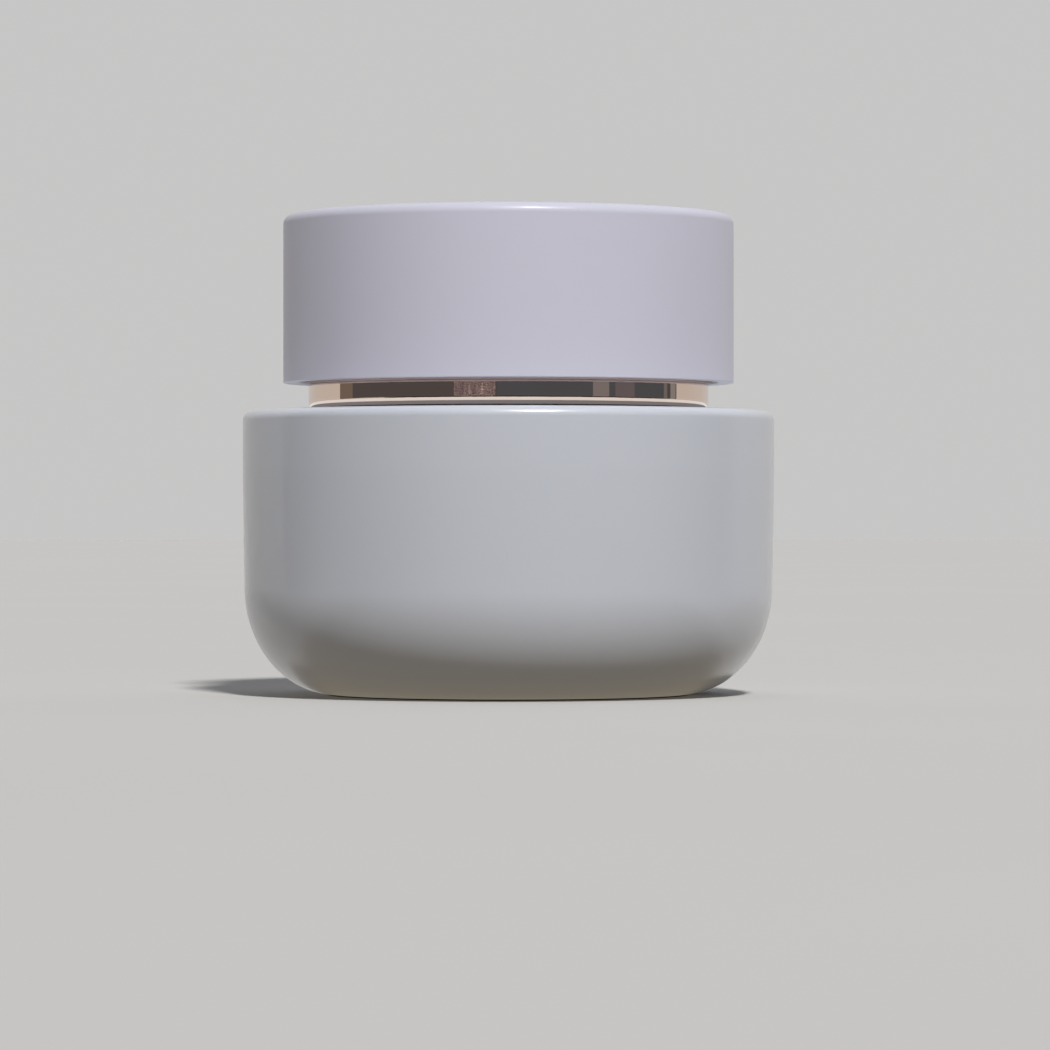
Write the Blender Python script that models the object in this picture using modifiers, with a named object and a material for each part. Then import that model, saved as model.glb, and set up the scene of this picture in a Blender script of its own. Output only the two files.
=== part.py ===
"""Cosmetic cream jar: a heavy white jar with an inner cup, a metallic collar and a screw lid.

Lengths are metres. The jar stands on the XY plane with its axis on +Z, and the origin is the
centre of its base. The lid is shown screwed down, with the sealing disc lying on the cup's rim.
"""

import math

import bmesh
import bpy

# Outer jar
JAR_RADIUS = 0.0310
JAR_LOW_RADIUS = 0.0308
JAR_SHOULDER_Z = 0.0330
JAR_SHOULDER_FILLET = 0.0009
JAR_TAPER_TOP_Z = 0.0260
JAR_CORNER_Z = 0.0125
JAR_FOOT_RADIUS = 0.0204
JAR_RECESS_RADIUS = 0.0172
JAR_RECESS_DEPTH = 0.0007
JAR_BORE_RADIUS = 0.0209
JAR_FLOOR_Z = 0.0052
JAR_FLOOR_FILLET = 0.0040

# Inner cup
CUP_OUTER_RADIUS = 0.0206
CUP_INNER_LOW_RADIUS = 0.0192
CUP_BOTTOM_Z = 0.0055
CUP_FLOOR_Z = 0.0070
CUP_CORNER = 0.0040
CUP_FLANGE_RADIUS = 0.0223
CUP_FLANGE_Z = (0.0344, 0.0364)
NECK_RADIUS = 0.0212
NECK_BORE_RADIUS = 0.0198
NECK_RIM_Z = 0.0476
SNAP_Z = 0.0280
SNAP_BEAD_HEIGHT = 0.0005
SNAP_GROOVE_DEPTH = 0.0006

# Collar ring
RING_RADIUS = 0.02336
RING_WALL = 0.0007
RING_FLANGE_RADIUS = 0.0213
RING_BOTTOM_Z = 0.0333
RING_FLANGE_TOP_Z = 0.0341
RING_TOP_Z = 0.0369
RING_BEVEL = 0.00018

# Sealing disc
DISC_RADIUS = 0.0210
DISC_PLUG_RADIUS = 0.0195
DISC_DISH_RADIUS = 0.0184
DISC_RIM_Z = (0.0479, 0.0487)
DISC_DISH_Z = (0.0462, 0.0470)
TAB_WIDTH = 0.0090
TAB_TIP_RADIUS = 0.0070
TAB_THICKNESS = 0.0008
TAB_Z = 0.0480

# Lid: outer shell, threaded insert and liner
SHELL_RADIUS = 0.02628
SHELL_Z = (0.03625, 0.0561)
SHELL_TOP_FILLET = 0.0011
SHELL_TOP_SLOPE = (0.0040, 0.00035)
SHELL_INNER_RADIUS = 0.0243
SHELL_INNER_TOP_Z = 0.0541
SHELL_INNER_FILLET = 0.0010
SHELL_EDGE_ROUND = 0.0003
INSERT_RADIUS = 0.0236
INSERT_BORE_RADIUS = 0.0225
INSERT_Z = (0.0373, 0.0520)
INSERT_CEILING_Z = 0.0505
INSERT_BOSS_RADII = (0.0120, 0.0135)
INSERT_BOSS_TOP_Z = 0.0538
RIB_COUNT = 16
RIB_HEIGHT = 0.0004
RIB_WIDTH = 0.0012
RIB_Z = (0.0390, 0.0510)
LINER_RADIUS = 0.0219
LINER_Z = (0.0490, 0.0502)

# Screw thread: round ridges, right-handed
THREAD_STARTS = 2
THREAD_LEAD = 0.0080
THREAD_TURN = math.radians(270)
THREAD_RIDGE = 0.0010
NECK_THREAD_Z = 0.0388
THREAD_POINTS = 28
THREAD_TAPER_POINTS = 3
THREAD_TAPER_START = 0.35

EDGE = 0.0003
OUTER_SEGMENTS = 64
INNER_SEGMENTS = 48
SMOOTH_ANGLE = math.radians(32)
MERGE = 0.00001


def clear_scene():
    for obj in list(bpy.data.objects):
        bpy.data.objects.remove(obj, do_unlink=True)


def new_collection(name):
    collection = bpy.data.collections.new(name)
    bpy.context.scene.collection.children.link(collection)
    return collection


def material(name, colour, roughness, metallic=0.0):
    found = bpy.data.materials.new(name)
    found.use_nodes = True
    shader = found.node_tree.nodes["Principled BSDF"]
    shader.inputs["Base Color"].default_value = (*colour, 1.0)
    shader.inputs["Roughness"].default_value = roughness
    shader.inputs["Metallic"].default_value = metallic
    return found


def white_gloss():
    return material("jar_white", (0.80, 0.83, 0.88), 0.12)


def rose_gold():
    return material("rose_gold", (0.86, 0.66, 0.54), 0.08, 1.0)


def lid_lavender():
    return material("lid_lavender", (0.78, 0.77, 0.86), 0.22)


def natural_plastic():
    return material("cup_plastic", (0.86, 0.87, 0.88), 0.35)


def frosted_plastic():
    return material("disc_plastic", (0.88, 0.89, 0.90), 0.45)


def insert_plastic():
    return material("insert_plastic", (0.90, 0.90, 0.90), 0.40)


def foam():
    return material("liner_foam", (0.92, 0.92, 0.90), 0.85)


def arc(centre, radii, start, end, steps):
    """Points (r, z) along an elliptical arc, both ends included, with angles in degrees."""
    points = []
    for i in range(steps + 1):
        angle = math.radians(start + (end - start) * i / steps)
        points.append((
            centre[0] + radii[0] * math.cos(angle),
            centre[1] + radii[1] * math.sin(angle),
        ))
    return points


def round_arc(centre, radius, start, end, steps):
    return arc(centre, (radius, radius), start, end, steps)


def turned(name, profile, segments, closed=False):
    """A Screw of an (r, z) profile that runs down its outer side, from axis to axis or as a loop."""
    mesh = bpy.data.meshes.new(name)
    shape = bmesh.new()
    corners = [shape.verts.new((r, 0.0, z)) for r, z in profile]
    for first, second in zip(corners, corners[1:]):
        shape.edges.new((first, second))
    if closed:
        shape.edges.new((corners[-1], corners[0]))
    shape.to_mesh(mesh)
    shape.free()
    obj = bpy.data.objects.new(name, mesh)
    screw = obj.modifiers.new("Turn", "SCREW")
    screw.axis = "Z"
    screw.steps = segments
    screw.render_steps = segments
    screw.use_merge_vertices = True
    screw.merge_threshold = MERGE
    return obj


def add_part(obj, surface, collection, parent=None):
    collection.objects.link(obj)
    obj.data.materials.append(surface)
    obj.data.shade_smooth()
    obj.data.set_sharp_from_angle(angle=SMOOTH_ANGLE)
    obj.parent = parent
    return obj


def add_cutter(obj, collection):
    collection.objects.link(obj)
    obj.hide_render = True
    obj.display_type = "WIRE"
    return obj


def boolean(obj, operand, operation):
    step = obj.modifiers.new(operand.name, "BOOLEAN")
    step.operation = operation
    step.object = operand
    step.solver = "EXACT"


def mesh_from_curve(curve_obj, collection):
    """The curve's evaluated shape as a mesh object with its caps welded, in the curve's place."""
    collection.objects.link(curve_obj)
    bpy.context.view_layer.update()
    evaluated = curve_obj.evaluated_get(bpy.context.evaluated_depsgraph_get())
    mesh = bpy.data.meshes.new_from_object(evaluated)
    shape = bmesh.new()
    shape.from_mesh(mesh)
    bmesh.ops.remove_doubles(shape, verts=shape.verts, dist=MERGE / 10)
    bmesh.ops.recalc_face_normals(shape, faces=shape.faces)
    shape.to_mesh(mesh)
    shape.free()
    obj = bpy.data.objects.new(curve_obj.name + "_mesh", mesh)
    obj.matrix_world = curve_obj.matrix_world
    bpy.data.objects.remove(curve_obj, do_unlink=True)
    return obj


def thread_ridge(name, radius, start_angle, start_z, collection):
    """One thread ridge: a round bead along a right-handed helix, thinning out at both ends."""
    curve = bpy.data.curves.new(name, "CURVE")
    curve.dimensions = "3D"
    curve.bevel_depth = THREAD_RIDGE
    curve.bevel_resolution = 2
    curve.use_fill_caps = True
    spline = curve.splines.new("POLY")
    spline.points.add(THREAD_POINTS - 1)
    for i, point in enumerate(spline.points):
        turn = THREAD_TURN * i / (THREAD_POINTS - 1)
        angle = start_angle + turn
        height = start_z + THREAD_LEAD * turn / math.tau
        point.co = (radius * math.cos(angle), radius * math.sin(angle), height, 1.0)
        from_end = min(i, THREAD_POINTS - 1 - i) / THREAD_TAPER_POINTS
        point.radius = min(1.0, THREAD_TAPER_START + (1.0 - THREAD_TAPER_START) * from_end)
    ridge = mesh_from_curve(bpy.data.objects.new(name, curve), collection)
    return add_cutter(ridge, collection)


def add_thread(obj, radius, start_angle, start_z, cutters):
    for start in range(THREAD_STARTS):
        angle = start_angle + math.tau * start / THREAD_STARTS
        ridge = thread_ridge(f"{obj.name}_thread_{start + 1}", radius, angle, start_z, cutters)
        boolean(obj, ridge, "UNION")


def outer_jar_profile():
    bore = JAR_BORE_RADIUS
    floor_corner = (bore - JAR_FLOOR_FILLET, JAR_FLOOR_Z + JAR_FLOOR_FILLET)
    shoulder_centre = (JAR_RADIUS - JAR_SHOULDER_FILLET, JAR_SHOULDER_Z - JAR_SHOULDER_FILLET)
    low_corner = (JAR_LOW_RADIUS - JAR_FOOT_RADIUS, JAR_CORNER_Z)
    return [
        (0.0, JAR_FLOOR_Z),
        *round_arc(floor_corner, JAR_FLOOR_FILLET, -90, 0, 4),
        *round_arc((bore, SNAP_Z), SNAP_GROOVE_DEPTH, -90, 90, 4),
        (bore, JAR_SHOULDER_Z - EDGE),
        (bore + EDGE, JAR_SHOULDER_Z),
        *round_arc(shoulder_centre, JAR_SHOULDER_FILLET, 90, 0, 5),
        (JAR_RADIUS, JAR_TAPER_TOP_Z),
        *arc((JAR_FOOT_RADIUS, JAR_CORNER_Z), low_corner, 0, -90, 12),
        (JAR_RECESS_RADIUS, 0.0),
        (JAR_RECESS_RADIUS - JAR_RECESS_DEPTH, JAR_RECESS_DEPTH),
        (0.0, JAR_RECESS_DEPTH),
    ]


def inner_cup_profile():
    inner_corner = (CUP_INNER_LOW_RADIUS - CUP_CORNER, CUP_FLOOR_Z + CUP_CORNER)
    outer_corner = (CUP_OUTER_RADIUS - CUP_CORNER, CUP_BOTTOM_Z + CUP_CORNER)
    flange_bottom, flange_top = CUP_FLANGE_Z
    return [
        (0.0, CUP_FLOOR_Z),
        *round_arc(inner_corner, CUP_CORNER, -90, 0, 4),
        (NECK_BORE_RADIUS, NECK_RIM_Z - EDGE),
        (NECK_BORE_RADIUS + EDGE, NECK_RIM_Z),
        (NECK_RADIUS - EDGE, NECK_RIM_Z),
        (NECK_RADIUS, NECK_RIM_Z - EDGE),
        (NECK_RADIUS, flange_top),
        (CUP_FLANGE_RADIUS - EDGE, flange_top),
        (CUP_FLANGE_RADIUS, flange_top - EDGE),
        (CUP_FLANGE_RADIUS, flange_bottom),
        (CUP_OUTER_RADIUS, flange_bottom),
        *round_arc((CUP_OUTER_RADIUS, SNAP_Z), SNAP_BEAD_HEIGHT, 90, -90, 4),
        *round_arc(outer_corner, CUP_CORNER, 0, -90, 4),
        (0.0, CUP_BOTTOM_Z),
    ]


def collar_ring_profile():
    inner = RING_RADIUS - RING_WALL
    bevelled = RING_RADIUS - RING_BEVEL
    return [
        (RING_RADIUS - RING_BEVEL, RING_TOP_Z),
        (RING_RADIUS, RING_TOP_Z - RING_BEVEL),
        (RING_RADIUS, RING_FLANGE_TOP_Z),
        (bevelled, RING_BOTTOM_Z + RING_BEVEL),
        (bevelled - RING_BEVEL, RING_BOTTOM_Z),
        (RING_FLANGE_RADIUS, RING_BOTTOM_Z),
        (RING_FLANGE_RADIUS, RING_FLANGE_TOP_Z),
        (inner, RING_FLANGE_TOP_Z),
        (inner, RING_TOP_Z),
    ]


def sealing_disc_profile():
    rim_bottom, rim_top = DISC_RIM_Z
    dish_bottom, dish_top = DISC_DISH_Z
    return [
        (0.0, dish_top),
        (DISC_DISH_RADIUS - EDGE, dish_top),
        (DISC_DISH_RADIUS, dish_top + EDGE),
        (DISC_DISH_RADIUS, rim_top),
        (DISC_RADIUS - EDGE, rim_top),
        (DISC_RADIUS, rim_top - EDGE),
        (DISC_RADIUS, rim_bottom),
        (DISC_PLUG_RADIUS, rim_bottom),
        (DISC_PLUG_RADIUS, dish_bottom + EDGE),
        (DISC_PLUG_RADIUS - EDGE, dish_bottom),
        (0.0, dish_bottom),
    ]


def cap_shell_profile():
    bottom, top = SHELL_Z
    slope_in, slope_down = SHELL_TOP_SLOPE
    slope = math.atan2(slope_down, slope_in)
    fillet_radius = SHELL_RADIUS - SHELL_TOP_FILLET
    slope_end = slope_in - SHELL_TOP_FILLET * (1 - math.sin(slope))
    fillet_z = top - slope_end * math.tan(slope) - SHELL_TOP_FILLET * math.cos(slope)
    fillet_start = 90 - math.degrees(slope)
    inner_centre = (SHELL_INNER_RADIUS - SHELL_INNER_FILLET, SHELL_INNER_TOP_Z - SHELL_INNER_FILLET)
    return [
        (0.0, top),
        (SHELL_RADIUS - slope_in, top),
        *round_arc((fillet_radius, fillet_z), SHELL_TOP_FILLET, fillet_start, 0, 5),
        (SHELL_RADIUS, bottom + SHELL_EDGE_ROUND),
        (SHELL_RADIUS - SHELL_EDGE_ROUND, bottom),
        (SHELL_INNER_RADIUS + EDGE, bottom),
        (SHELL_INNER_RADIUS, bottom + EDGE),
        *round_arc(inner_centre, SHELL_INNER_FILLET, 0, 90, 3),
        (0.0, SHELL_INNER_TOP_Z),
    ]


def cap_insert_profile():
    bottom, top = INSERT_Z
    boss_inner, boss_outer = INSERT_BOSS_RADII
    return [
        (0.0, top),
        (boss_inner, top),
        (boss_inner, INSERT_BOSS_TOP_Z),
        (boss_outer, INSERT_BOSS_TOP_Z),
        (boss_outer, top),
        (INSERT_RADIUS - 2 * EDGE, top),
        (INSERT_RADIUS, top - 2 * EDGE),
        (INSERT_RADIUS, bottom + EDGE),
        (INSERT_RADIUS - EDGE, bottom),
        (INSERT_BORE_RADIUS + EDGE, bottom),
        (INSERT_BORE_RADIUS, bottom + EDGE),
        (INSERT_BORE_RADIUS, INSERT_CEILING_Z - EDGE),
        (INSERT_BORE_RADIUS - EDGE, INSERT_CEILING_Z),
        (0.0, INSERT_CEILING_Z),
    ]


def cap_liner_profile():
    bottom, top = LINER_Z
    return [
        (0.0, top),
        (LINER_RADIUS - EDGE, top),
        (LINER_RADIUS, top - EDGE),
        (LINER_RADIUS, bottom + EDGE),
        (LINER_RADIUS - EDGE, bottom),
        (0.0, bottom),
    ]


def tab_outline():
    """The pull tab seen from above: a tongue with a round tip, rooted in the disc's rim."""
    half = TAB_WIDTH / 2
    root = DISC_DISH_RADIUS + EDGE
    tip = round_arc((TAB_TIP_RADIUS + half, 0.0), half, 90, 270, 12)
    return [*tip, (root, -half), (root, half)]


def pull_tab(cutters):
    curve = bpy.data.curves.new("pull_tab", "CURVE")
    curve.dimensions = "2D"
    curve.fill_mode = "BOTH"
    curve.extrude = TAB_THICKNESS / 2
    spline = curve.splines.new("POLY")
    outline = tab_outline()
    spline.points.add(len(outline) - 1)
    for point, (x, y) in zip(spline.points, outline):
        point.co = (x, y, 0.0, 1.0)
    spline.use_cyclic_u = True
    obj = bpy.data.objects.new("pull_tab", curve)
    obj.location = (0.0, 0.0, TAB_Z)
    return add_cutter(mesh_from_curve(obj, cutters), cutters)


def insert_rib(index, cutters):
    """One upright rib on the insert's outer wall, which centres it in the lid's shell."""
    low, high = RIB_Z
    depth = RIB_HEIGHT + EDGE
    radius = INSERT_RADIUS + RIB_HEIGHT - depth / 2
    angle = math.tau * index / RIB_COUNT
    mesh = bpy.data.meshes.new(f"insert_rib_{index + 1}")
    shape = bmesh.new()
    bmesh.ops.create_cube(shape, size=1.0)
    bmesh.ops.scale(shape, vec=(depth, RIB_WIDTH, high - low), verts=shape.verts)
    shape.to_mesh(mesh)
    shape.free()
    rib = bpy.data.objects.new(mesh.name, mesh)
    rib.location = (radius * math.cos(angle), radius * math.sin(angle), (low + high) / 2)
    rib.rotation_euler = (0.0, 0.0, angle)
    return add_cutter(rib, cutters)


def axis_empty(name, height, collection):
    empty = bpy.data.objects.new(name, None)
    empty.empty_display_size = JAR_RADIUS
    empty.location = (0.0, 0.0, height)
    collection.objects.link(empty)
    return empty


def hold(obj, empty):
    """Parents a piece to an empty on its joint's axis, and leaves it where it is."""
    obj.parent = empty
    obj.matrix_parent_inverse = empty.matrix_world.inverted()


def build_jar(jar, cutters):
    outer = turned("outer_jar", outer_jar_profile(), OUTER_SEGMENTS)
    add_part(outer, white_gloss(), jar)
    ring = turned("collar_ring", collar_ring_profile(), OUTER_SEGMENTS, closed=True)
    add_part(ring, rose_gold(), jar)
    cup = turned("inner_cup", inner_cup_profile(), INNER_SEGMENTS)
    add_part(cup, natural_plastic(), jar)
    add_thread(cup, NECK_RADIUS, 0.0, NECK_THREAD_Z, cutters)


def build_disc(jar, cutters):
    disc = turned("sealing_disc", sealing_disc_profile(), INNER_SEGMENTS)
    add_part(disc, frosted_plastic(), jar)
    boolean(disc, pull_tab(cutters), "UNION")
    return disc


def build_cap(jar, cutters):
    shell = turned("cap_shell", cap_shell_profile(), OUTER_SEGMENTS)
    add_part(shell, lid_lavender(), jar)
    insert = turned("cap_insert", cap_insert_profile(), INNER_SEGMENTS)
    add_part(insert, insert_plastic(), jar)
    # The lid's ridges run midway between the neck's, from just above the insert's lower edge.
    below = THREAD_LEAD / THREAD_STARTS / 2
    angle = math.tau * below / THREAD_LEAD
    add_thread(insert, INSERT_BORE_RADIUS, angle, NECK_THREAD_Z, cutters)
    for index in range(RIB_COUNT):
        boolean(insert, insert_rib(index, cutters), "UNION")
    return shell, insert


def build_liner(jar):
    liner = turned("cap_liner", cap_liner_profile(), INNER_SEGMENTS)
    return add_part(liner, foam(), jar)


def main():
    clear_scene()
    jar = new_collection("cream_jar")
    cutters = new_collection("cutters")
    build_jar(jar, cutters)
    disc = build_disc(jar, cutters)
    liner = build_liner(jar)
    shell, insert = build_cap(jar, cutters)
    lid_axis = axis_empty("lid_axis", SHELL_Z[0], jar)
    disc_axis = axis_empty("disc_axis", DISC_RIM_Z[0], jar)
    bpy.context.view_layer.update()
    for piece in (shell, insert, liner):
        hold(piece, lid_axis)
    hold(disc, disc_axis)


main()
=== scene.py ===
"""Visual model of the cream jar: finely turned pieces with procedural finishes on a pale floor.

Lengths are metres. A turned piece is an outline of (radius, height, fillet) corners swept round
+Z.
"""

import math

import bmesh
import bpy
from mathutils import Matrix, Vector


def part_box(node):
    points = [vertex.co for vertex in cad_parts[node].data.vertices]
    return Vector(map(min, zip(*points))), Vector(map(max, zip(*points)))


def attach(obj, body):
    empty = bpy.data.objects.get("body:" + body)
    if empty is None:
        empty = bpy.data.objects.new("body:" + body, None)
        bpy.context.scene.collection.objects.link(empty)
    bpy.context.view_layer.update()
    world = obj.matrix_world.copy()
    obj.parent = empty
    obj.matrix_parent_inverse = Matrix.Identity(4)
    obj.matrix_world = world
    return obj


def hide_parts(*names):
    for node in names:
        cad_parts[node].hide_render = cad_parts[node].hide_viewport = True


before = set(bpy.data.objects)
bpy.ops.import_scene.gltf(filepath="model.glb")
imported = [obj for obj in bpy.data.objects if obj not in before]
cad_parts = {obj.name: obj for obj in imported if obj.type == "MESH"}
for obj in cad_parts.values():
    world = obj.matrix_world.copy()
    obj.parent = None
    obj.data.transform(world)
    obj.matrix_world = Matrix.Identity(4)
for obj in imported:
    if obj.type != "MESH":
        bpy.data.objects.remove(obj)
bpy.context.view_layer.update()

MM = 0.001
TINY = 1e-9

# Edge roundings that recur
EDGE_CRISP = 0.1 * MM
EDGE_FINE = 0.2 * MM
EDGE_SOFT = 0.3 * MM

# Turning
SEGMENTS = 256
FILLET_STEP_DEG = 7.5
SUPPORT = 0.12 * MM
LONGEST_STEP = 2.0 * MM
THREAD_STEP = 0.1 * MM
SHARP_DEG = 40
ON_AXIS = 1e-7
ON_WALL = 0.05 * MM

# Jar
JAR_LOW_RADIUS = 30.8 * MM
JAR_TAPER_TOP = 26.0 * MM
JAR_CORNER_TOP = 12.5 * MM
JAR_FOOT_RADIUS = 20.4 * MM
JAR_CORNER_STEPS = 40
JAR_SHOULDER_FILLET = 1.1 * MM
JAR_RECESS_RADIUS = 17.2 * MM
JAR_RECESS_DEPTH = 0.7 * MM
JAR_RECESS_CORNER = 0.5 * MM
JAR_FOOT_EDGE = 0.25 * MM
JAR_BORE_RADIUS = 20.9 * MM
JAR_MOUTH_EDGE = 0.4 * MM
JAR_FLOOR = 5.2 * MM
JAR_FLOOR_CORNER = 4.0 * MM
SNAP_HEIGHT = 28.0 * MM
SNAP_GROOVE = 0.6 * MM
SNAP_BEAD = 0.5 * MM
SNAP_STEPS = 12

# Cup
CUP_OUTER_RADIUS = 20.6 * MM
CUP_LOW_BORE_RADIUS = 19.2 * MM
CUP_FLOOR = 7.0 * MM
CUP_CORNER = 4.0 * MM
CUP_FLANGE = (34.4 * MM, 36.4 * MM)
NECK_RADIUS = 21.2 * MM
NECK_BORE_RADIUS = 19.8 * MM
NECK_RIM_EDGE = 0.35 * MM

# Collar ring: a bevel's points are how far in from the face it is, and how high
RING_WALL = 0.7 * MM
RING_FLANGE_RADIUS = 21.3 * MM
RING_FLANGE_TOP = 34.1 * MM
RING_FACE = (34.28 * MM, 35.84 * MM)
RING_UPPER_BEVEL = (0.02 * MM, 36.06 * MM)
RING_NECK_STEP = 0.12 * MM
RING_LOWER_BEVEL = ((0.016 * MM, 34.05 * MM), (0.062 * MM, 33.70 * MM))
RING_FOOT_STEP = 0.20 * MM
RING_FOOT_EDGE = 0.06 * MM
RING_FACE_BLEND = 1.0 * MM
RING_BEVEL_EDGE = 0.02 * MM
RING_NECK_RISE = 0.03 * MM
RING_INNER_EDGE = 0.15 * MM

# Sealing disc
DISC_PLUG_RADIUS = 19.5 * MM
DISC_DISH_RADIUS = 18.4 * MM
DISC_DISH_TOP = 47.0 * MM
DISC_RIM_BOTTOM = 47.9 * MM
DISC_RIM_MIDDLE = 20.2 * MM
TAB_WIDTH = 9.0 * MM
TAB_TIP_RADIUS = 7.0 * MM
TAB_THICKNESS = 0.8 * MM
TAB_HEIGHT = 48.0 * MM
TAB_ROOT_DEPTH = 0.3 * MM
TAB_TIP_STEPS = 24
TAB_BARS = 3
TAB_BAR_PITCH = 1.6 * MM
TAB_BAR_RISE = 0.22 * MM
TAB_BAR_WIDTH = 0.66 * MM
TAB_BAR_LENGTH = 4.95 * MM

# Lid
SHELL_TOP_SLOPE = (4.0 * MM, 0.35 * MM)
SHELL_TOP_BLEND = 12.0 * MM
SHELL_TOP_FILLET = 1.1 * MM
SHELL_INNER_RADIUS = 24.3 * MM
SHELL_CEILING = 54.1 * MM
SHELL_CEILING_CORNER = 1.0 * MM
LINER_EDGE = 0.25 * MM
INSERT_WALL_RADIUS = 23.6 * MM
INSERT_BORE_RADIUS = 22.5 * MM
INSERT_DECK = 52.0 * MM
INSERT_DECK_EDGE = 0.6 * MM
INSERT_CEILING = 50.5 * MM
INSERT_BOSS = (12.0 * MM, 13.5 * MM)
RIB_COUNT = 16
RIB_WIDTH = 1.2 * MM
RIB_EDGE = 0.3 * MM
RIB_END = 0.4 * MM
RIB_SPAN = (39.0 * MM, 51.0 * MM)

# Screw thread: two right-handed starts on the neck, and two midway between them in the lid
THREAD_STARTS = 2
THREAD_LEAD = 8.0 * MM
THREAD_TURN = math.radians(270)
THREAD_RIDGE = 1.0 * MM
THREAD_HALF_WIDTH = 1.0 * MM
THREAD_TAPER = math.radians(28)
THREAD_FLANK = 0.55
THREAD_CLEAR = 0.5 * MM
NECK_THREAD_START = 38.8 * MM

# Finishes: soft noise mixes the two tones of a pair, and reaches from one to the other in its span
NOISE_SPAN = (0.3, 0.7)
JAR_TONES = ((0.634, 0.662, 0.735), (0.644, 0.672, 0.745))
JAR_DUST = (0.20, 0.18, 0.16)
LID_TONES = ((0.640, 0.634, 0.744), (0.649, 0.643, 0.753))
LID_DUST = (0.35, 0.33, 0.36)
RING_TONES = ((0.86, 0.675, 0.555), (0.89, 0.715, 0.60))
CUP_TONES = ((0.74, 0.75, 0.76), (0.79, 0.80, 0.81))
INSERT_TONES = ((0.78, 0.78, 0.78), (0.83, 0.83, 0.83))
DISC_TONES = ((0.78, 0.79, 0.80), (0.83, 0.84, 0.85))
FOAM_TONES = ((0.83, 0.83, 0.80), (0.90, 0.90, 0.88))

# Camera, in front of the jar and level, as high as the lower wall
CAMERA_DISTANCE = 588 * MM
CAMERA_HEIGHT = 19.7 * MM
CAMERA_RIGHT = 1.93 * MM
CAMERA_FIELD = math.radians(11.91)
CAMERA_CLIP = (0.01, 20.0)

# Studio: angles are in degrees, and azimuths are to the right of the camera
FLOOR_RADII = (6.0, 1.0, 0.2, 0.0)
FLOOR_Z = -0.1 * MM
FLOOR_SEGMENTS = 96
FLOOR_COLOUR = (0.608, 0.598, 0.587)
TABLE_INNER = 21.1 * MM
TABLE_RADIUS = 160 * MM
TABLE_Z = 0.02 * MM
TABLE_SPAN = (-118, 98)
# Painted shade: the colour of the floor in shadow round the foot, which two cards give the jar in
# place of the real floor's light and reflection
FLOOR_SHADE_COLOUR = (0.228, 0.197, 0.149)
KEY_AZIMUTH = 16
KEY_ELEVATION = 50
KEY_STRENGTH = 2.8
KEY_SOFTNESS = 7
KEY_COLOUR = (1.0, 0.985, 0.96)
SKY_COLOUR = (0.125, 0.140, 0.165)
BACKDROP_COLOUR = (0.555, 0.545, 0.535)
BACKDROP_EDGE = (0.28, 0.34)
BAND_RADIUS = 450 * MM
BAND_GAP = 8 * MM
BAND_HEIGHT = (-20 * MM, 400 * MM)
# Painted reflection of a lit floor, to the jar's left
TABLE_LIT_COLOUR = (0.50, 0.49, 0.48)
TABLE_FAR_COLOUR = (0.03, 0.03, 0.03)
# Painted reflections at the shoulder: a bright card for its sunlit top and a dim one for the lid's
# shade on it
PAINTED_SHOULDER_LIGHT = (0.80, 0.86, 0.92)
SHADE_COLOUR = (0.21, 0.23, 0.275)
SHADE_RADII = (23.4 * MM, 25.0 * MM)
GLOW_RADII = (25.0 * MM, 30.6 * MM)
STREAK_SCALE = (17.0, 17.0, 620.0)
STREAK_EDGES = (0.016, 0.006)
STREAK_COLOUR = (0.95, 0.80, 0.82)
CARD_STEP_DEG = 4
CARD_FADE_DEG = 20
# The share of the floor's sky that the backdrop fills, and the radiance that the lit floor then has
BACKDROP_START = sum(BACKDROP_EDGE) / 2
BACKDROP_SHARE = (
    math.acos(BACKDROP_START) - BACKDROP_START * math.sqrt(1 - BACKDROP_START**2)
) / math.pi
SEEN_GROUND = tuple(
    floor
    * (
        KEY_STRENGTH * math.sin(math.radians(KEY_ELEVATION)) / math.pi
        + sky * (1 - BACKDROP_SHARE)
        + back * BACKDROP_SHARE
    )
    for floor, sky, back in zip(FLOOR_COLOUR, SKY_COLOUR, BACKDROP_COLOUR)
)


# ---------------------------------------------------------------- turned shapes


def fillet(before, corner, after, radius):
    """The arc of this radius that rounds a corner, as points, or the corner itself at radius 0."""
    a = Vector((before[0] - corner[0], before[1] - corner[1]))
    b = Vector((after[0] - corner[0], after[1] - corner[1]))
    if radius <= 0 or a.length < TINY or b.length < TINY:
        return [(corner[0], corner[1])]
    a.normalize()
    b.normalize()
    half = math.acos(max(-1.0, min(1.0, a.dot(b)))) / 2
    reach = radius / math.tan(half)
    middle = (a + b).normalized() * (radius / math.sin(half))
    centre = Vector(corner[:2]) + middle
    first = Vector(corner[:2]) + a * reach - centre
    last = Vector(corner[:2]) + b * reach - centre
    sweep = math.atan2(first.x * last.y - first.y * last.x, first.dot(last))
    steps = max(2, round(abs(math.degrees(sweep)) / FILLET_STEP_DEG))
    points = []
    for i in range(steps + 1):
        angle = sweep * i / steps
        x = first.x * math.cos(angle) - first.y * math.sin(angle)
        y = first.x * math.sin(angle) + first.y * math.cos(angle)
        points.append((centre.x + x, centre.y + y))
    return points


def ellipse_arc(centre, radii, start, end, steps):
    """Corners with no fillet, along an elliptical arc from one angle to another, in degrees."""
    points = []
    for i in range(steps + 1):
        angle = math.radians(start + (end - start) * i / steps)
        r = centre[0] + radii[0] * math.cos(angle)
        z = centre[1] + radii[1] * math.sin(angle)
        points.append((r, z, 0))
    return points


def between(start, end, share):
    """The point this share of the way from start to end."""
    return (start[0] + (end[0] - start[0]) * share, start[1] + (end[1] - start[1]) * share)


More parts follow.
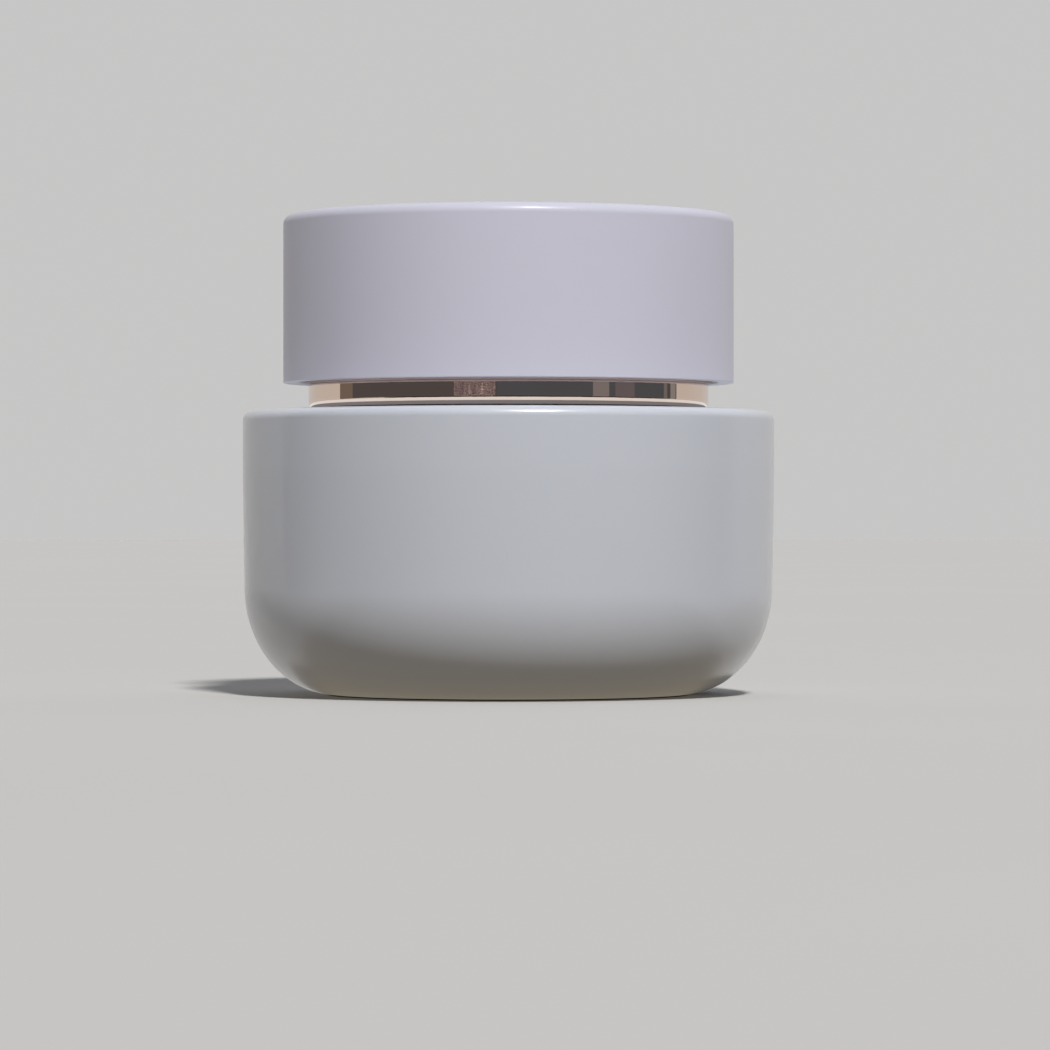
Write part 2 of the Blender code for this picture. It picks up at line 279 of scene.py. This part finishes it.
def outline(corners, closed=False):
    """Corners (r, z, fillet) as a fine polyline, with support points at a straight run's ends."""
    count = len(corners)
    rounded = []
    for i, corner in enumerate(corners):
        at_end = not closed and i in (0, count - 1)
        radius = 0 if at_end else corner[2]
        rounded += fillet(corners[i - 1], corner, corners[(i + 1) % count], radius)
    if closed:
        rounded.append(rounded[0])
    fine = [rounded[0]]
    for start, end in zip(rounded, rounded[1:]):
        length = math.dist(start, end)
        stops = []
        if length > 4 * SUPPORT:
            inner = length - 2 * SUPPORT
            pieces = max(1, math.ceil(inner / LONGEST_STEP))
            stops = [SUPPORT + inner * i / pieces for i in range(pieces + 1)]
        for stop in [*stops, length]:
            share = stop / length if length else 0
            fine.append(between(start, end, share))
    return fine[:-1] if closed else fine


def densify(points, low, high, step):
    """More points on the stretches between two heights, for a thread or a rib to show in."""
    fine = [points[0]]
    for start, end in zip(points, points[1:]):
        inside = low <= min(start[1], end[1]) and max(start[1], end[1]) <= high
        pieces = max(1, math.ceil(math.dist(start, end) / step)) if inside else 1
        for i in range(1, pieces + 1):
            fine.append(between(start, end, i / pieces))
    return fine


def turned_mesh(name, points, closed=False, relief=None, segments=SEGMENTS):
    """A mesh of (r, z) points swept round +Z. relief(r, z, angle) gives the radius to add."""
    verts = []
    rings = []
    for r, z in points:
        if r < ON_AXIS:
            rings.append([len(verts)])
            verts.append((0.0, 0.0, z))
            continue
        ring = []
        for i in range(segments):
            angle = math.tau * i / segments
            radius = r + (relief(r, z, angle) if relief else 0.0)
            ring.append(len(verts))
            verts.append((radius * math.cos(angle), radius * math.sin(angle), z))
        rings.append(ring)
    faces = []
    pairs = list(zip(rings, rings[1:]))
    if closed:
        pairs.append((rings[-1], rings[0]))
    for upper, lower in pairs:
        for i in range(segments):
            j = (i + 1) % segments
            if len(upper) == 1:
                faces.append((upper[0], lower[i], lower[j]))
            elif len(lower) == 1:
                faces.append((upper[i], lower[0], upper[j]))
            else:
                faces.append((upper[i], lower[i], lower[j], upper[j]))
    mesh = bpy.data.meshes.new(name)
    mesh.from_pydata(verts, [], faces)
    mesh.validate()
    mesh.update()
    return mesh


def finish_piece(name, mesh, surface, body, node):
    """The piece that this mesh becomes: it moves with the body, in the CAD node's place."""
    mesh.materials.append(surface)
    mesh.shade_smooth()
    mesh.set_sharp_from_angle(angle=math.radians(SHARP_DEG))
    piece = bpy.data.objects.new(name, mesh)
    bpy.context.scene.collection.objects.link(piece)
    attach(piece, body)
    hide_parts(node)
    return piece


def smooth_step(value):
    value = max(0.0, min(1.0, value))
    return value * value * (3 - 2 * value)


def thread_height(z, angle, start_angle, start_z):
    """How far a thread stands out of its wall here: rounded ridges that fade at both ends."""
    best = 0.0
    for start in range(THREAD_STARTS):
        turn = (angle - start_angle - math.tau * start / THREAD_STARTS) % math.tau
        if turn > THREAD_TURN:
            continue
        fade = smooth_step(min(turn, THREAD_TURN - turn) / THREAD_TAPER)
        off = abs(z - start_z - THREAD_LEAD * turn / math.tau) / THREAD_HALF_WIDTH
        if off < 1.0:
            crest = smooth_step((1.0 - off) / THREAD_FLANK)
            best = max(best, THREAD_RIDGE * crest * fade)
    return best


# ---------------------------------------------------------------- node helpers


class Surface:
    """A Principled material and short ways to add the nodes that drive it."""

    def __init__(self, name):
        self.material = bpy.data.materials.new(name)
        self.material.use_nodes = True
        self.tree = self.material.node_tree
        self.shader = self.tree.nodes["Principled BSDF"]
        self.place = self.node("ShaderNodeTexCoord").outputs["Object"]

    def node(self, kind, **settings):
        made = self.tree.nodes.new(kind)
        for key, value in settings.items():
            setattr(made, key, value)
        return made

    def link(self, source, target):
        self.tree.links.new(source, target)

    def feed(self, target, value):
        """Sets a socket to a number, or links it to another socket."""
        if isinstance(value, (int, float, tuple)):
            target.default_value = value
        else:
            self.link(value, target)

    def set(self, **values):
        """Uniform values on the shader's own sockets, an underscore for each space."""
        for key, value in values.items():
            self.shader.inputs[key.replace("_", " ")].default_value = value

    def stretched(self, scale):
        """The place, scaled by a different amount along each axis."""
        mapping = self.node("ShaderNodeMapping")
        self.link(self.place, mapping.inputs["Vector"])
        mapping.inputs["Scale"].default_value = scale
        return mapping.outputs["Vector"]

    def noise(self, scale, detail=2.0, rough=0.5, place=None):
        """Soft noise, which mostly lies inside NOISE_SPAN."""
        made = self.node("ShaderNodeTexNoise")
        made.inputs["Scale"].default_value = scale
        made.inputs["Detail"].default_value = detail
        made.inputs["Roughness"].default_value = rough
        self.link(place or self.place, made.inputs["Vector"])
        return made.outputs["Fac"]

    def cells(self, scale):
        """The distance to the nearest of scattered points."""
        made = self.node("ShaderNodeTexVoronoi")
        made.inputs["Scale"].default_value = scale
        self.link(self.place, made.inputs["Vector"])
        return made.outputs["Distance"]

    def range(self, value, low, high, to_low=0.0, to_high=1.0):
        """The value's place between low and high, clamped, as one between to_low and to_high."""
        made = self.node("ShaderNodeMapRange")
        self.feed(made.inputs["Value"], value)
        made.inputs["From Min"].default_value = low
        made.inputs["From Max"].default_value = high
        made.inputs["To Min"].default_value = to_low
        made.inputs["To Max"].default_value = to_high
        return made.outputs["Result"]

    def spread(self, noise, low=0.0, high=1.0):
        """Soft noise, made to reach from low to high."""
        return self.range(noise, *NOISE_SPAN, low, high)

    def math(self, operation, first, second=0.0):
        made = self.node("ShaderNodeMath", operation=operation)
        self.feed(made.inputs[0], first)
        self.feed(made.inputs[1], second)
        return made.outputs["Value"]

    def mix(self, share, first, second):
        made = self.node("ShaderNodeMix", data_type="RGBA")
        self.feed(made.inputs["Factor"], share)
        self.feed(made.inputs["A"], (*first, 1.0) if isinstance(first, tuple) else first)
        self.feed(made.inputs["B"], (*second, 1.0) if isinstance(second, tuple) else second)
        return made.outputs["Result"]

    def colour(self, value):
        self.link(value, self.shader.inputs["Base Color"])

    def roughness(self, value):
        self.link(value, self.shader.inputs["Roughness"])

    def bump(self, height, distance, strength=1.0, under=None):
        """Relief on the surface, laid over the relief under it."""
        made = self.node("ShaderNodeBump")
        made.inputs["Distance"].default_value = distance
        made.inputs["Strength"].default_value = strength
        self.link(height, made.inputs["Height"])
        if under:
            self.link(under, made.inputs["Normal"])
        self.link(made.outputs["Normal"], self.shader.inputs["Normal"])
        return made.outputs["Normal"]

    def radius(self):
        """The distance from the jar's axis."""
        parts = self.node("ShaderNodeSeparateXYZ")
        self.link(self.place, parts.inputs["Vector"])
        squares = [self.math("POWER", parts.outputs[axis], 2.0) for axis in "XY"]
        return self.math("SQRT", self.math("ADD", *squares))


# ---------------------------------------------------------------- finishes


def speckled(surface, ground, speck, scale, size, share):
    """Fine dust: soft-edged specks, wherever a five times coarser set of cells allows them."""
    distance = surface.cells(scale)
    spot = surface.range(distance, size, size * 0.6)
    chosen = surface.range(surface.cells(scale / 5), share, share - 0.01)
    return surface.mix(surface.math("MULTIPLY", spot, chosen), ground, speck)


def milky_gloss():
    """Thick white jar wall: a faint cloudiness under a soft gloss, and a rare speck of dust."""
    surface = Surface("milky_gloss")
    cloud = surface.spread(surface.noise(40.0))
    ground = surface.mix(cloud, *JAR_TONES)
    surface.colour(speckled(surface, ground, JAR_DUST, 170.0, 0.020, 0.14))
    haze = surface.noise(1400.0, 3.0, 0.6)
    surface.roughness(surface.spread(haze, 0.30, 0.34))
    wave = surface.bump(surface.noise(60.0, 1.0), 0.04 * MM, 0.3)
    surface.bump(surface.noise(2400.0), 0.004 * MM, 0.3, wave)
    surface.set(IOR=1.49, Coat_Weight=0.8, Coat_Roughness=0.13, Coat_IOR=1.5)
    surface.set(Subsurface_Weight=0.12, Subsurface_Scale=0.5)
    surface.set(Subsurface_Radius=(0.004, 0.004, 0.005))
    return surface.material


def lavender_satin():
    """Moulded lid shell: lavender white, satin gloss with a very fine, even grain."""
    surface = Surface("lavender_satin")
    cloud = surface.spread(surface.noise(34.0))
    ground = surface.mix(cloud, *LID_TONES)
    surface.colour(speckled(surface, ground, LID_DUST, 150.0, 0.016, 0.12))
    haze = surface.noise(1600.0, 3.0, 0.6)
    surface.roughness(surface.spread(haze, 0.36, 0.40))
    wave = surface.bump(surface.noise(60.0, 1.0), 0.03 * MM, 0.3)
    surface.bump(surface.noise(2600.0), 0.004 * MM, 0.3, wave)
    surface.set(IOR=1.5, Specular_IOR_Level=0.32, Coat_Weight=0.12, Coat_Roughness=0.22)
    return surface.material


def rose_gold():
    """Mirror-polished plated ring, with a gentle wave left by the moulding below the plating."""
    surface = Surface("rose_gold")
    tint = surface.spread(surface.noise(160.0))
    surface.colour(surface.mix(tint, *RING_TONES))
    around = surface.stretched((1.0, 1.0, 14.0))
    haze = surface.noise(420.0, 3.0, 0.6, around)
    surface.roughness(surface.spread(haze, 0.010, 0.030))
    wave = surface.bump(surface.noise(75.0, 1.0), 0.04 * MM, 0.35)
    surface.bump(surface.noise(900.0, 1.0, 0.5, around), 0.002 * MM, 0.2, wave)
    surface.set(Metallic=1.0)
    return surface.material


def moulded_plastic(name, tones, rough, grain, lines):
    """Semi-matt moulded plastic: spark-eroded grain, and turning marks left by the mould.

    The marks are lines radians of a sine wave to the metre of radius.
    """
    surface = Surface(name)
    cloud = surface.spread(surface.noise(70.0, 3.0))
    surface.colour(surface.mix(cloud, *tones))
    patches = surface.noise(700.0, 3.0)
    surface.roughness(surface.spread(patches, rough - 0.06, rough + 0.06))
    marks = surface.math("SINE", surface.math("MULTIPLY", surface.radius(), lines))
    turned = surface.bump(marks, 0.004 * MM, 0.4)
    surface.bump(surface.noise(grain), 0.012 * MM, 0.5, turned)
    surface.set(IOR=1.49, Subsurface_Weight=0.25, Subsurface_Scale=0.4)
    surface.set(Subsurface_Radius=(0.003, 0.003, 0.003))
    return surface.material


def liner_foam():
    """Closed-cell foam sheet: fine cells, with the ring that the disc's rim has pressed into it."""
    surface = Surface("liner_foam")
    cells = surface.cells(2600.0)
    # Painted shade: darker towards each cell's middle, where the bump below sinks it into a pit
    shade = surface.range(cells, 0.0, 0.7)
    surface.colour(surface.mix(shade, *FOAM_TONES))
    surface.roughness(surface.spread(surface.noise(500.0), 0.78, 0.92))
    off = surface.math("ABSOLUTE", surface.math("SUBTRACT", surface.radius(), DISC_RIM_MIDDLE))
    pressed = surface.bump(surface.range(off, 0.3 * MM, 1.2 * MM), 0.12 * MM, 0.7)
    surface.bump(cells, 0.04 * MM, 0.8, pressed)
    surface.set(IOR=1.45, Sheen_Weight=0.15, Sheen_Roughness=0.5)
    return surface.material


# ---------------------------------------------------------------- pieces


def jar_body():
    low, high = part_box("outer_jar")
    radius = high.x
    recess = low.z + JAR_RECESS_DEPTH
    groove_size = (SNAP_GROOVE, SNAP_GROOVE)
    groove = ellipse_arc((JAR_BORE_RADIUS, SNAP_HEIGHT), groove_size, -90, 90, SNAP_STEPS)
    corner_size = (JAR_LOW_RADIUS - JAR_FOOT_RADIUS, JAR_CORNER_TOP - low.z)
    corner = ellipse_arc((JAR_FOOT_RADIUS, JAR_CORNER_TOP), corner_size, 0, -90, JAR_CORNER_STEPS)
    points = outline([
        (0.0, JAR_FLOOR, 0),
        (JAR_BORE_RADIUS, JAR_FLOOR, JAR_FLOOR_CORNER),
        *groove,
        (JAR_BORE_RADIUS, high.z, JAR_MOUTH_EDGE),
        (radius, high.z, JAR_SHOULDER_FILLET),
        (radius, JAR_TAPER_TOP, 0),
        *corner,
        (JAR_RECESS_RADIUS, low.z, JAR_FOOT_EDGE),
        (JAR_RECESS_RADIUS - JAR_RECESS_DEPTH, recess, JAR_RECESS_CORNER),
        (0.0, recess, 0),
    ])
    mesh = turned_mesh("jar_body", points)
    return finish_piece("jar_body", mesh, milky_gloss(), "jar", "outer_jar")


def collar():
    low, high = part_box("collar_ring")
    radius = high.x
    inner = radius - RING_WALL
    upper_in, upper_z = RING_UPPER_BEVEL
    points = outline([
        (radius - RING_NECK_STEP, high.z, RING_INNER_EDGE),
        (radius - RING_NECK_STEP, upper_z + RING_NECK_RISE, RING_BEVEL_EDGE),
        (radius - upper_in, upper_z, RING_BEVEL_EDGE),
        (radius, RING_FACE[1], RING_FACE_BLEND),
        (radius, RING_FACE[0], 0),
        *((radius - inwards, z, 0) for inwards, z in RING_LOWER_BEVEL),
        (radius - RING_FOOT_STEP, low.z, RING_FOOT_EDGE),
        (RING_FLANGE_RADIUS, low.z, EDGE_CRISP),
        (RING_FLANGE_RADIUS, RING_FLANGE_TOP, EDGE_CRISP),
        (inner, RING_FLANGE_TOP, RING_INNER_EDGE),
        (inner, high.z, RING_INNER_EDGE),
    ], closed=True)
    mesh = turned_mesh("collar_ring_polished", points, closed=True)
    return finish_piece("collar_ring_polished", mesh, rose_gold(), "jar", "collar_ring")


def neck_relief(r, z, angle):
    """The thread's ridges on the neck's outer wall."""
    if r < NECK_RADIUS - ON_WALL or z < CUP_FLANGE[1] + THREAD_CLEAR:
        return 0.0
    return thread_height(z, angle, 0.0, NECK_THREAD_START)


def cup():
    low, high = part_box("inner_cup")
    flange = high.x
    flange_bottom, flange_top = CUP_FLANGE
    bead_size = (SNAP_BEAD, SNAP_BEAD)
    bead = ellipse_arc((CUP_OUTER_RADIUS, SNAP_HEIGHT), bead_size, 90, -90, SNAP_STEPS)
    points = outline([
        (0.0, CUP_FLOOR, 0),
        (CUP_LOW_BORE_RADIUS, CUP_FLOOR, CUP_CORNER),
        (NECK_BORE_RADIUS, high.z, NECK_RIM_EDGE),
        (NECK_RADIUS, high.z, NECK_RIM_EDGE),
        (NECK_RADIUS, flange_top, EDGE_SOFT),
        (flange, flange_top, EDGE_SOFT),
        (flange, flange_bottom, EDGE_CRISP),
        (CUP_OUTER_RADIUS, flange_bottom, EDGE_CRISP),
        *bead,
        (CUP_OUTER_RADIUS, low.z, CUP_CORNER),
        (0.0, low.z, 0),
    ])
    points = densify(points, flange_top, high.z, THREAD_STEP)
    mesh = turned_mesh("cup_and_neck", points, relief=neck_relief)
    surface = moulded_plastic("cup_plastic", CUP_TONES, rough=0.34, grain=1800.0, lines=9000.0)
    return finish_piece("cup_and_neck", mesh, surface, "jar", "inner_cup")


def rib_height(angle):
    """1 on a rib of the insert and 0 between two, with soft edges."""
    pitch = math.tau / RIB_COUNT
    off = abs((angle + pitch / 2) % pitch - pitch / 2) * INSERT_WALL_RADIUS
    return smooth_step((RIB_WIDTH / 2 + RIB_EDGE / 2 - off) / RIB_EDGE)


def insert_relief(rib_radius):
    """Ribs on the insert's outer wall and the thread's ridges, inwards, on its bore."""
    rib_rise = rib_radius - INSERT_WALL_RADIUS
    start_angle = math.tau / THREAD_STARTS / 2

    def relief(r, z, angle):
        if r > INSERT_WALL_RADIUS - ON_WALL:
            ends = min(z - RIB_SPAN[0], RIB_SPAN[1] - z) / RIB_END
            return rib_rise * rib_height(angle) * smooth_step(ends)
        if abs(r - INSERT_BORE_RADIUS) < ON_WALL and z < INSERT_CEILING - THREAD_CLEAR:
            return -thread_height(z, angle, start_angle, NECK_THREAD_START)
        return 0.0

    return relief


def lid_insert():
    low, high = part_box("cap_insert")
    inner_boss, outer_boss = INSERT_BOSS
    points = outline([
        (0.0, INSERT_DECK, 0),
        (inner_boss, INSERT_DECK, EDGE_SOFT),
        (inner_boss, high.z, EDGE_FINE),
        (outer_boss, high.z, EDGE_FINE),
        (outer_boss, INSERT_DECK, EDGE_SOFT),
        (INSERT_WALL_RADIUS, INSERT_DECK, INSERT_DECK_EDGE),
        (INSERT_WALL_RADIUS, low.z, EDGE_SOFT),
        (INSERT_BORE_RADIUS, low.z, EDGE_SOFT),
        (INSERT_BORE_RADIUS, INSERT_CEILING, EDGE_SOFT),
        (0.0, INSERT_CEILING, 0),
    ])
    points = densify(points, low.z, INSERT_DECK, THREAD_STEP)
    mesh = turned_mesh("lid_insert", points, relief=insert_relief(high.x))
    surface = moulded_plastic("insert_plastic", INSERT_TONES, rough=0.38, grain=1500.0, lines=7000.0)
    return finish_piece("lid_insert", mesh, surface, "cap", "cap_insert")


def lid_shell():
    low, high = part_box("cap_shell")
    radius = high.x
    slope_in, slope_down = SHELL_TOP_SLOPE
    points = outline([
        (0.0, high.z, 0),
        (radius - slope_in, high.z, SHELL_TOP_BLEND),
        (radius, high.z - slope_down, SHELL_TOP_FILLET),
        (radius, low.z, EDGE_CRISP),
        (SHELL_INNER_RADIUS, low.z, EDGE_SOFT),
        (SHELL_INNER_RADIUS, SHELL_CEILING, SHELL_CEILING_CORNER),
        (0.0, SHELL_CEILING, 0),
    ])
    mesh = turned_mesh("lid_shell", points)
    return finish_piece("lid_shell", mesh, lavender_satin(), "cap", "cap_shell")


def liner():
    low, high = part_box("cap_liner")
    points = outline([
        (0.0, high.z, 0),
        (high.x, high.z, LINER_EDGE),
        (high.x, low.z, LINER_EDGE),
        (0.0, low.z, 0),
    ])
    mesh = turned_mesh("foam_liner", points)
    return finish_piece("foam_liner", mesh, liner_foam(), "liner", "cap_liner")


def pull_tab():
    """The tongue that lifts the disc: a round tip, eased edges and grip bars, rooted in the rim."""
    half = TAB_WIDTH / 2
    root = DISC_DISH_RADIUS + TAB_ROOT_DEPTH
    tip = ellipse_arc((TAB_TIP_RADIUS + half, 0.0), (half, half), 90, 270, TAB_TIP_STEPS)
    low = TAB_HEIGHT - TAB_THICKNESS / 2
    shape = bmesh.new()
    around = [corner[:2] for corner in tip] + [(root, -half), (root, half)]
    face = shape.faces.new([shape.verts.new((x, y, low)) for x, y in around])
    raised = bmesh.ops.extrude_face_region(shape, geom=[face])
    top = [item for item in raised["geom"] if isinstance(item, bmesh.types.BMVert)]
    bmesh.ops.translate(shape, verts=top, vec=(0.0, 0.0, TAB_THICKNESS))
    rims = [edge for edge in shape.edges if abs(edge.verts[0].co.z - edge.verts[1].co.z) < TINY]
    bmesh.ops.bevel(shape, geom=rims, offset=EDGE_FINE, segments=4, profile=0.5, affect="EDGES")
    for i in range(TAB_BARS):
        middle = TAB_TIP_RADIUS + half + (i - 1) * TAB_BAR_PITCH
        place = Matrix.Translation((middle, 0.0, low + TAB_THICKNESS))
        size = Matrix.Diagonal((TAB_BAR_WIDTH, TAB_BAR_LENGTH, TAB_BAR_RISE * 2, 1.0))
        bar = place @ size
        bmesh.ops.create_uvsphere(shape, u_segments=24, v_segments=12, radius=0.5, matrix=bar)
    bmesh.ops.recalc_face_normals(shape, faces=shape.faces)
    return shape


def disc():
    """The turned disc and its pull tab, as one mesh."""
    low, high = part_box("sealing_disc")
    points = outline([
        (0.0, DISC_DISH_TOP, 0),
        (DISC_DISH_RADIUS, DISC_DISH_TOP, EDGE_SOFT),
        (DISC_DISH_RADIUS, high.z, EDGE_FINE),
        (high.x, high.z, EDGE_SOFT),
        (high.x, DISC_RIM_BOTTOM, EDGE_CRISP),
        (DISC_PLUG_RADIUS, DISC_RIM_BOTTOM, EDGE_CRISP),
        (DISC_PLUG_RADIUS, low.z, EDGE_SOFT),
        (0.0, low.z, 0),
    ])
    mesh = turned_mesh("sealing_disc_moulded", points)
    shape = pull_tab()
    shape.from_mesh(mesh)
    shape.to_mesh(mesh)
    shape.free()
    surface = moulded_plastic("disc_plastic", DISC_TONES, rough=0.42, grain=1200.0, lines=5200.0)
    return finish_piece("sealing_disc_moulded", mesh, surface, "disc", "sealing_disc")


# ---------------------------------------------------------------- stage


def plain(name, colour):
    """A matt finish with a faint cloudiness."""
    surface = Surface(name)
    cloud = surface.spread(surface.noise(6.0, 3.0))
    low = tuple(c * 0.99 for c in colour)
    high = tuple(c * 1.01 for c in colour)
    surface.colour(surface.mix(cloud, low, high))
    surface.set(Roughness=1.0, Specular_IOR_Level=0.0)
    return surface.material


def one_sided(name, colour, streaks=None):
    """A card that shines on its front only, and lets light through from behind.

    It is clear where the mesh's "shown" value is 0. Streaks is the colour of its thin wavy lines.
    """
    surface = Surface(name)
    tree = surface.tree
    tree.nodes.remove(surface.shader)
    card = surface.node("ShaderNodeEmission")
    through = surface.node("ShaderNodeBsdfTransparent")
    side = surface.node("ShaderNodeNewGeometry")
    shown = surface.node("ShaderNodeAttribute", attribute_name="shown")
    mix = surface.node("ShaderNodeMixShader")
    card.inputs["Color"].default_value = (*colour, 1.0)
    if streaks:
        wander = surface.noise(1.0, 2.0, 0.5, surface.stretched(STREAK_SCALE))
        off = surface.math("ABSOLUTE", surface.math("SUBTRACT", wander, 0.5))
        line = surface.range(off, *STREAK_EDGES)
        surface.link(surface.mix(line, colour, streaks), card.inputs["Color"])
    clear = surface.math("SUBTRACT", 1.0, shown.outputs["Fac"])
    surface.link(surface.math("MAXIMUM", side.outputs["Backfacing"], clear), mix.inputs["Fac"])
    surface.link(card.outputs["Emission"], mix.inputs[1])
    surface.link(through.outputs["BSDF"], mix.inputs[2])
    surface.link(mix.outputs["Shader"], tree.nodes["Material Output"].inputs["Surface"])
    return surface.material


def stage_piece(name, mesh, surface):
    mesh.materials.append(surface)
    mesh.shade_smooth()
    piece = bpy.data.objects.new(name, mesh)
    bpy.context.scene.collection.objects.link(piece)
    return piece


def floor():
    """A pale floor out to the horizon."""
    points = [(radius, FLOOR_Z) for radius in FLOOR_RADII]
    mesh = turned_mesh("studio_floor", points, segments=FLOOR_SEGMENTS)
    mesh.flip_normals()
    return stage_piece("studio_floor", mesh, plain("studio_pale", FLOOR_COLOUR))


def card_strip(name, start, end, edges, surface, seen_by=("glossy",), soft=0):
    """A card between two azimuths and two (radius, height) edges, for these kinds of ray only.

    It fades in and out over the first and last soft degrees.
    """
    steps = max(2, round((end - start) / CARD_STEP_DEG))
    verts = []
    shown = []
    for i in range(steps + 1):
        along = (end - start) * i / steps
        towards = direction(start + along, 0.0)
        share = smooth_step(min(along, end - start - along) / soft) if soft else 1.0
        for radius, height in edges:
            verts.append((towards.x * radius, towards.y * radius, height))
            shown.append(share)
    faces = [(2 * i, 2 * i + 1, 2 * i + 3, 2 * i + 2) for i in range(steps)]
    mesh = bpy.data.meshes.new(name)
    mesh.from_pydata(verts, [], faces)
    mesh.attributes.new("shown", "FLOAT", "POINT").data.foreach_set("value", shown)
    card = stage_piece(name, mesh, surface)
    card.visible_camera = False
    card.visible_glossy = "glossy" in seen_by
    card.visible_diffuse = "diffuse" in seen_by
    card.visible_shadow = False
    return card


def painted_floor_shade():
    """Negative fill round the jar's foot, as painted shade: a dim card that only diffuse rays see
    darkens what the jar gets from the floor, as if the floor there lay in shadow.
    """
    edges = ((TABLE_INNER, TABLE_Z), (TABLE_RADIUS, TABLE_Z))
    surface = one_sided("painted_floor_shade", FLOOR_SHADE_COLOUR)
    card_strip("painted_floor_shade", *TABLE_SPAN, edges, surface, ("diffuse",), CARD_FADE_DEG)


def band(name, start, end, colour, nearer=0, streaks=None):
    """An upright curved card round the jar. A nearer one hides those behind it."""
    radius = BAND_RADIUS - nearer * BAND_GAP
    edges = ((radius, BAND_HEIGHT[0]), (radius, BAND_HEIGHT[1]))
    return card_strip(name, start, end, edges, one_sided(name, colour, streaks))


def flat_card(name, start, end, radii, height, colour, soft=0):
    """A level card round the jar, between two radii."""
    edges = [(radius, height) for radius in radii]
    return card_strip(name, start, end, edges, one_sided(name, colour), soft=soft)


def surroundings():
    """What the polished ring mirrors: a dim room on the camera's side, with a few things in it.
    Painted reflections join it: the floor in shade in front of the jar and lit to its left, and the
    shoulder lit and in the lid's shade.

    Each card has its azimuths and its colour.
    """
    band("room", -110, 110, (0.080, 0.078, 0.085))
    band("room_right", -6, 100, (0.076, 0.088, 0.110), 1)
    band("room_doorway", -110, -98, (0.165, 0.140, 0.124), 1)
    band("room_clutter", -30, -7, (0.110, 0.090, 0.105), 1, STREAK_COLOUR)
    band("room_screen", 48, 58, (0.200, 0.197, 0.215), 2)
    band("room_chair", 62, 75, (0.130, 0.127, 0.150), 2)
    band("room_frame", 98, 101, (0.160, 0.165, 0.180), 2)
    band("room_edge", 104, 109, (0.240, 0.250, 0.270), 2)
    near = (TABLE_INNER, TABLE_RADIUS)
    # Painted reflection of shade: the floor in front of the jar, mirrored as if it lay in shadow
    flat_card("front_floor_shade", -80, 82, near, TABLE_Z, FLOOR_SHADE_COLOUR, CARD_FADE_DEG)
    wide = (TABLE_INNER, BAND_RADIUS)
    # Painted reflection: a lit floor to the jar's left, mirrored in place of the real floor and its
    # shadow there
    flat_card("table_lit", -190, -65, wide, TABLE_Z, TABLE_LIT_COLOUR, CARD_FADE_DEG)
    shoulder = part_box("outer_jar")[1].z + TABLE_Z
    # Painted reflection: a bright card over the shoulder that stands for its sunlit top, as the ring
    # mirrors it
    flat_card("painted_shoulder_light", -180, 180, GLOW_RADII, shoulder, PAINTED_SHOULDER_LIGHT)
    # Painted reflection of shade: a dim card next to the ring that stands for the lid's shadow on
    # the shoulder, as the ring's foot mirrors it
    flat_card("shoulder_shade", -180, 180, SHADE_RADII, shoulder, SHADE_COLOUR)
    far = (TABLE_RADIUS, BAND_RADIUS)
    flat_card("table_far", -85, 110, far, TABLE_Z, TABLE_FAR_COLOUR, CARD_FADE_DEG)


def direction(azimuth, elevation):
    """Unit vector towards an azimuth, in degrees to the right of the camera, and an elevation."""
    a = math.radians(azimuth)
    e = math.radians(elevation)
    return Vector((math.sin(a) * math.cos(e), -math.cos(a) * math.cos(e), math.sin(e)))


def sun(name, azimuth, elevation, strength, softness, colour):
    data = bpy.data.lights.new(name, "SUN")
    data.energy = strength
    data.angle = math.radians(softness)
    data.color = colour
    light = bpy.data.objects.new(name, data)
    light.rotation_euler = (-direction(azimuth, elevation)).to_track_quat("-Z", "Y").to_euler()
    bpy.context.scene.collection.objects.link(light)


def sky():
    """A dim bluish sky on the camera's side and a pale backdrop behind.

    The camera itself sees neither: it sees SEEN_GROUND, so that the floor has no horizon.
    """
    world = bpy.data.worlds.new("studio_sky")
    world.use_nodes = True
    tree = world.node_tree
    place = tree.nodes.new("ShaderNodeTexCoord")
    parts = tree.nodes.new("ShaderNodeSeparateXYZ")
    behind = tree.nodes.new("ShaderNodeMapRange")
    behind.inputs["From Min"].default_value = BACKDROP_EDGE[0]
    behind.inputs["From Max"].default_value = BACKDROP_EDGE[1]
    shade = tree.nodes.new("ShaderNodeMix")
    shade.data_type = "RGBA"
    shade.inputs["A"].default_value = (*SKY_COLOUR, 1.0)
    shade.inputs["B"].default_value = (*BACKDROP_COLOUR, 1.0)
    path = tree.nodes.new("ShaderNodeLightPath")
    seen = tree.nodes.new("ShaderNodeMix")
    seen.data_type = "RGBA"
    seen.inputs["B"].default_value = (*SEEN_GROUND, 1.0)
    tree.links.new(place.outputs["Generated"], parts.inputs["Vector"])
    tree.links.new(parts.outputs["Y"], behind.inputs["Value"])
    tree.links.new(behind.outputs["Result"], shade.inputs["Factor"])
    tree.links.new(shade.outputs["Result"], seen.inputs["A"])
    tree.links.new(path.outputs["Is Camera Ray"], seen.inputs["Factor"])
    tree.links.new(seen.outputs["Result"], tree.nodes["Background"].inputs["Color"])
    bpy.context.scene.world = world


def lights():
    sun("key", KEY_AZIMUTH, KEY_ELEVATION, KEY_STRENGTH, KEY_SOFTNESS, KEY_COLOUR)
    sky()
    surroundings()


def camera():
    data = bpy.data.cameras.new("camera")
    data.sensor_fit = "HORIZONTAL"
    data.angle = CAMERA_FIELD
    data.clip_start, data.clip_end = CAMERA_CLIP
    view = bpy.data.objects.new("camera", data)
    view.location = (CAMERA_RIGHT, -CAMERA_DISTANCE, CAMERA_HEIGHT)
    view.rotation_euler = (math.radians(90), 0.0, 0.0)
    bpy.context.scene.collection.objects.link(view)
    bpy.context.scene.camera = view


camera()
floor()
painted_floor_shade()
lights()
jar_body()
collar()
cup()
disc()
liner()
lid_insert()
lid_shell()
bpy.context.scene.view_settings.view_transform = "Standard"
